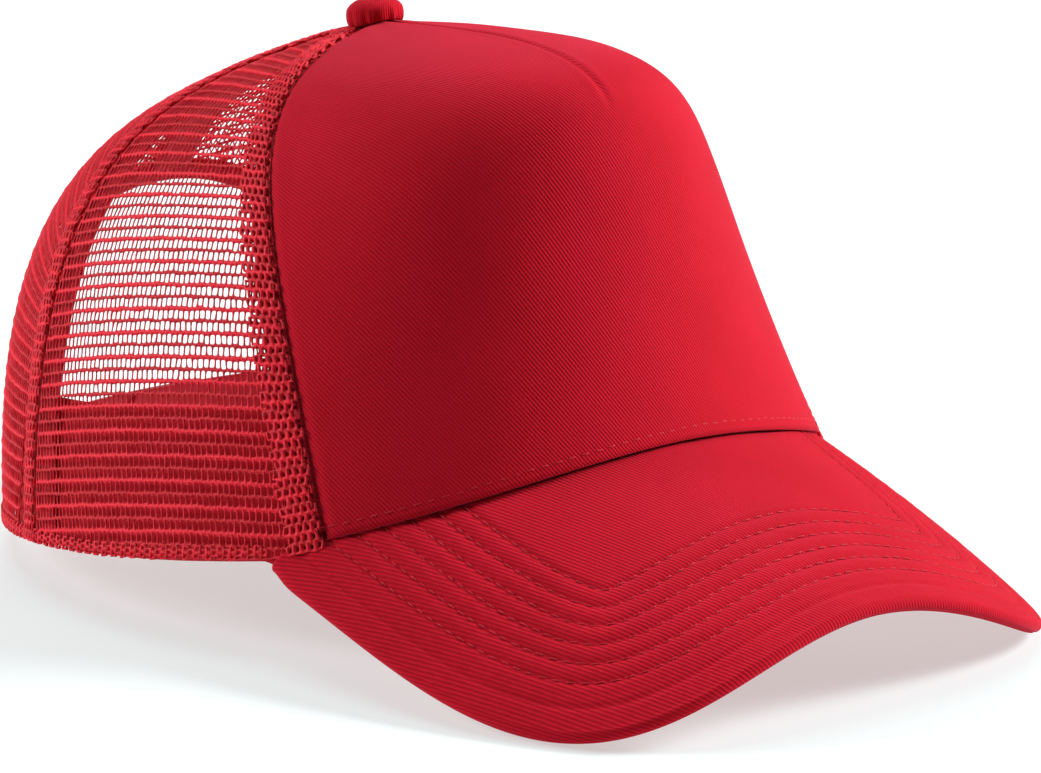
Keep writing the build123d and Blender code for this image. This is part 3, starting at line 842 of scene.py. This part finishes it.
# the cover's edge follows the crown, which falls away from the middle
cloth = crown(np.arctan2(np.cos(ang), -np.sin(ang))[:, None], np.linspace(0.9, 1, 60))[:, ::-1]
ground = [
    np.interp(r, np.hypot(c[:, 0], c[:, 1] - BUTTON_Y), c[:, 2] - CROWN_HEIGHT)
    for r, c in zip(rr.T, cloth)]
drop = np.array(ground).T * np.clip((2.6 - pz) / 2.0, 0, 1)[:, None]
dome = np.stack([rr * np.cos(ang), rr * np.sin(ang), pz[:, None] + drop], -1)
inner_dome = (dome - np.array([0, 0, 2.2])) * np.array([0.86, 0.86, 0.74]) + np.array([0, 0, 2.2])
centre_top = np.array([0, BUTTON_Y, CROWN_HEIGHT])
n = rings * turns
verts = np.concatenate([dome.reshape(-1, 3), inner_dome.reshape(-1, 3)]) + centre_top
last = (rings - 1) * turns
faces = [tuple(f) for f in grid_faces(rings, turns, wrap=True)]
faces += [tuple(f) for f in grid_faces(rings, turns, n, flip=True, wrap=True)]
faces += [(k, k + n, (k + 1) % turns + n, (k + 1) % turns) for k in range(turns)]
faces += [tuple(range(last, n)), tuple(range(n + last, 2 * n))[::-1]]
uv = np.concatenate([dome[..., :2].reshape(-1, 2), dome[..., :2].reshape(-1, 2)])
button = piece("button_twill", verts, faces, button_twill, ["button_cover"], uv=uv)

# ---- folded edges of the netting -------------------------------------------------------------------
def fold(name, line, side, width, cells, first, last, seed, puff=0.42):
    """Netting folded under along a seam: a puffed strip of small cells to one side of its line."""
    t = np.linspace(first, last, 3000)
    p = crown(line(t), t)
    run = np.r_[0, np.cumsum(np.linalg.norm(np.diff(p, axis=0), axis=1))]
    at = np.arange(0, run[-1], 0.50)
    t = np.interp(at, run, t)[:, None]
    j = np.linspace(0, 1, 2 * cells + 1)[None]
    a = side_of(line, t, side * (0.15 + width * j))
    t = t + 0 * a
    bulge = puff * np.clip(np.sin(math.pi * (0.08 + 0.88 * j)), 0, 1) ** 0.6 + 0 * a
    if side < 0:
        a, t, bulge = a[:, ::-1], t[:, ::-1], bulge[:, ::-1]
    p = crown_at(a, t, 0.15 - bulge)
    keep = np.ones(a.shape, bool)
    return net(
        name, p, outward(a, t), keep, [], seed, hole=(0.19, 0.25), lift=(0.22, 0.38), sway=0.22, loops=0.0)


folds = [
    fold("net_fold_front_right", front_right, -1, 7.8, 5, 0.0, 0.965, 31),
    fold("net_fold_front_left", front_left, 1, 7.8, 5, 0.0, 0.965, 32),
    fold("net_fold_side_right", rear_right, -1, 5.4, 4, 0.0, 0.95, 33, 0.3),
    fold("net_fold_side_left", rear_left, 1, 5.4, 4, 0.0, 0.95, 34, 0.3),
    fold("net_fold_rear", rear_middle, 1, 5.4, 4, arch_t, 0.95, 35, 0.3),
]
outer_row = []
for line, side in ((front_right, -1), (front_left, 1)):
    t = np.linspace(0.01, 0.96, 500)
    p, n = crown_line(side_of(line, t, side * 0.9), t, -0.35)
    outer_row.append((p, n))
for line, side in ((rear_right, -1), (rear_left, 1)):
    t = np.linspace(0.01, 0.94, 500)
    p, n = crown_line(side_of(line, t, side * 0.8), t, -0.25)
    outer_row.append((p, n))
seam_stitches = stitches("seam_stitches", outer_row, 1.5, 1.3, 0.15, thread)

# ---- bound edges: the rear opening and the hem --------------------------------------------------------
def on_crown(x, z):
    """The angle and t of the rear crown points that have this level x and z."""
    a = math.pi - np.arcsin(np.clip(x / HALF_WIDTH, -0.99, 0.99))
    t = np.clip(z / 170, 0, 0.6)
    for _ in range(12):
        e = 0.001
        here = crown(a, t)
        ja, jt = (crown(a + e, t) - here) / e, (crown(a, t + e) - here) / e
        det = ja[..., 0] * jt[..., 2] - ja[..., 2] * jt[..., 0]
        mx, mz = x - here[..., 0], z - here[..., 2]
        a = a + (mx * jt[..., 2] - mz * jt[..., 0]) / det
        t = t + (ja[..., 0] * mz - ja[..., 2] * mx) / det
    return a, t


def arch(b, extra=0.0):
    """Level x and z round the rear opening grown by extra, for b from 0 on the left to pi on the right."""
    power = 2 / ARCH_POWER
    x = (ARCH_W + extra) * np.abs(np.cos(b)) ** power * np.sign(np.cos(b))
    return x, (ARCH_H + extra) * np.abs(np.sin(b)) ** power


def binding(extra_of, inset_of, count):
    """A tube round the opening: each point of its section has an extra and an inset of its own."""
    b = np.linspace(0, math.pi, 3001)
    x, z = arch(b)
    run = np.r_[0, np.cumsum(np.hypot(np.diff(x), np.diff(z)))]
    at = np.linspace(0, run[-1], count)
    b = np.interp(at, run, b)
    sections = []
    for extra, inset in zip(extra_of, inset_of):
        x, z = arch(b, extra)
        a, t = on_crown(x, np.maximum(z, REAR_HEM_Z))
        sections.append(crown_at(a, t, inset + 0.05 * noise(at, 0 * at, 6, 41)))
    return loft(np.stack(sections, 1))


phi = np.linspace(0, 2 * math.pi, 20, endpoint=False)
squarish_x = np.sign(np.cos(phi)) * np.abs(np.cos(phi)) ** 0.55
squarish_y = np.sign(np.sin(phi)) * np.abs(np.sin(phi)) ** 0.55
verts, faces = binding(BINDING / 2 * (1 + squarish_x), 0.55 + 0.95 * squarish_y, 460)
opening_edge = piece("opening_edge_binding", verts, faces, tape_weave, ["opening_binding"])
binding_rows = []
for inset, flip in ((-0.42, 1), (1.52, -1)):
    x, z = arch(np.linspace(0.02, math.pi - 0.02, 900), 3.4)
    a, t = on_crown(x, np.maximum(z, 2.0))
    binding_rows.append((crown_at(a, t, inset), outward(a, t) * flip))
binding_stitches = stitches("binding_stitches", binding_rows, 2.2, 0.7, 0.15, thread)


def hem_edge(name, start, end, seed):
    """The netting's own narrow edge along the hem, between two angles."""
    a = np.radians(np.linspace(start, end, 385))[:, None]
    up = np.linspace(2.7, -0.25, 5)[None]
    bulge = 0.16 * np.sin(math.pi * np.linspace(0.15, 0.9, 5))[None] + 0 * a
    a, up = a + 0 * up, up + 0 * a
    t = up / near_hem(a)
    p = crown_at(a, t, 0.35 - bulge)
    keep = np.ones(a.shape, bool)
    return net(
        name, p, outward(a, t), keep, [], seed, hole=(0.17, 0.22), lift=(0.30, 0.30), sway=0.12, loops=0.0)


hems = [hem_edge("hem_edge_left", 58.2, 143.6, 51), hem_edge("hem_edge_right", -143.6, -58.2, 52)]

# ---- the cloth's cut sizes: the seam tapes' lengths and the netting under each, listed but not used ---
tape_lengths = (0.138, 0.138, 0.152, 0.152, 0.069)
taped_nets = ("net_side_right", "net_side_left", "net_rear_right", "net_rear_left", "net_rear_left")
for made, length, under in zip(tapes, tape_lengths, taped_nets):
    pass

# ---- floor, light and camera --------------------------------------------------------------------
WHITE = (1, 1, 1, 1)


def emitter(name, place, target, size, power):
    """A square area light, in metres and watts."""
    light = bpy.data.lights.new(name, "AREA")
    light.shape, light.size, light.size_y = "RECTANGLE", size, size
    light.energy = power
    obj = bpy.data.objects.new(name, light)
    bpy.context.scene.collection.objects.link(obj)
    obj.location = place
    obj.rotation_euler = (Vector(target) - Vector(place)).to_track_quat("-Z", "Y").to_euler()


# the floor glows a little, as white paper under a bright sweep does
floor_mesh = bpy.data.meshes.new("floor")
floor_mesh.from_pydata([(-6, -6, 0), (6, -6, 0), (6, 6, 0), (-6, 6, 0)], [], [(0, 1, 2, 3)])
floor = bpy.data.objects.new("floor", floor_mesh)
bpy.context.scene.collection.objects.link(floor)
paper = Nodes("floor_paper", 0.9, specular=0.1)
paper.shader.inputs["Emission Color"].default_value = WHITE
paper.shader.inputs["Emission Strength"].default_value = 0.53
mottle = paper.noise(paper.coords(False), 2.0)
floor_mesh.materials.append(paper.finish(paper.mix(mottle, (0.35, 0.41, 0.41), (0.37, 0.43, 0.43))))

AZIMUTH, ELEVATION = math.radians(-38.341), math.radians(14.767)
AIM_RIGHT, AIM_UP, DISTANCE = 0.024640, 0.022070, 1.12534
LENS, SENSOR = 173.607, 36.0
back = np.array([
    math.sin(AZIMUTH) * math.cos(ELEVATION), -math.cos(AZIMUTH) * math.cos(ELEVATION), math.sin(ELEVATION)])
right = np.array([math.cos(AZIMUTH), math.sin(AZIMUTH), 0])
up = np.cross(back, right)
aim = right * AIM_RIGHT + up * AIM_UP + np.array([0, SHIFT, LIFT]) / 1000
place = aim + back * DISTANCE
camera_data = bpy.data.cameras.new("camera")
camera_data.sensor_width, camera_data.lens = SENSOR, LENS
camera = bpy.data.objects.new("camera", camera_data)
bpy.context.scene.collection.objects.link(camera)
camera.matrix_world = Matrix([[right[k], up[k], back[k], place[k]] for k in range(3)] + [[0, 0, 0, 1]])
bpy.context.scene.camera = camera

emitter("key", (2.0, -1.12, 1.35), (0, 0, 0.05), 0.9, 112)
emitter("top", (0.35, 0.75, 2.2), (0, 0, 0), 1.9, 27)
emitter("back_left", (-1.65, 1.5, 1.1), (0, 0, 0.05), 0.9, 44)
world = bpy.data.worlds.new("room")
world.use_nodes = True
world.node_tree.nodes["Background"].inputs[0].default_value = WHITE
world.node_tree.nodes["Background"].inputs[1].default_value = 0.04
bpy.context.scene.world = world
bpy.context.scene.view_settings.view_transform = "Standard"
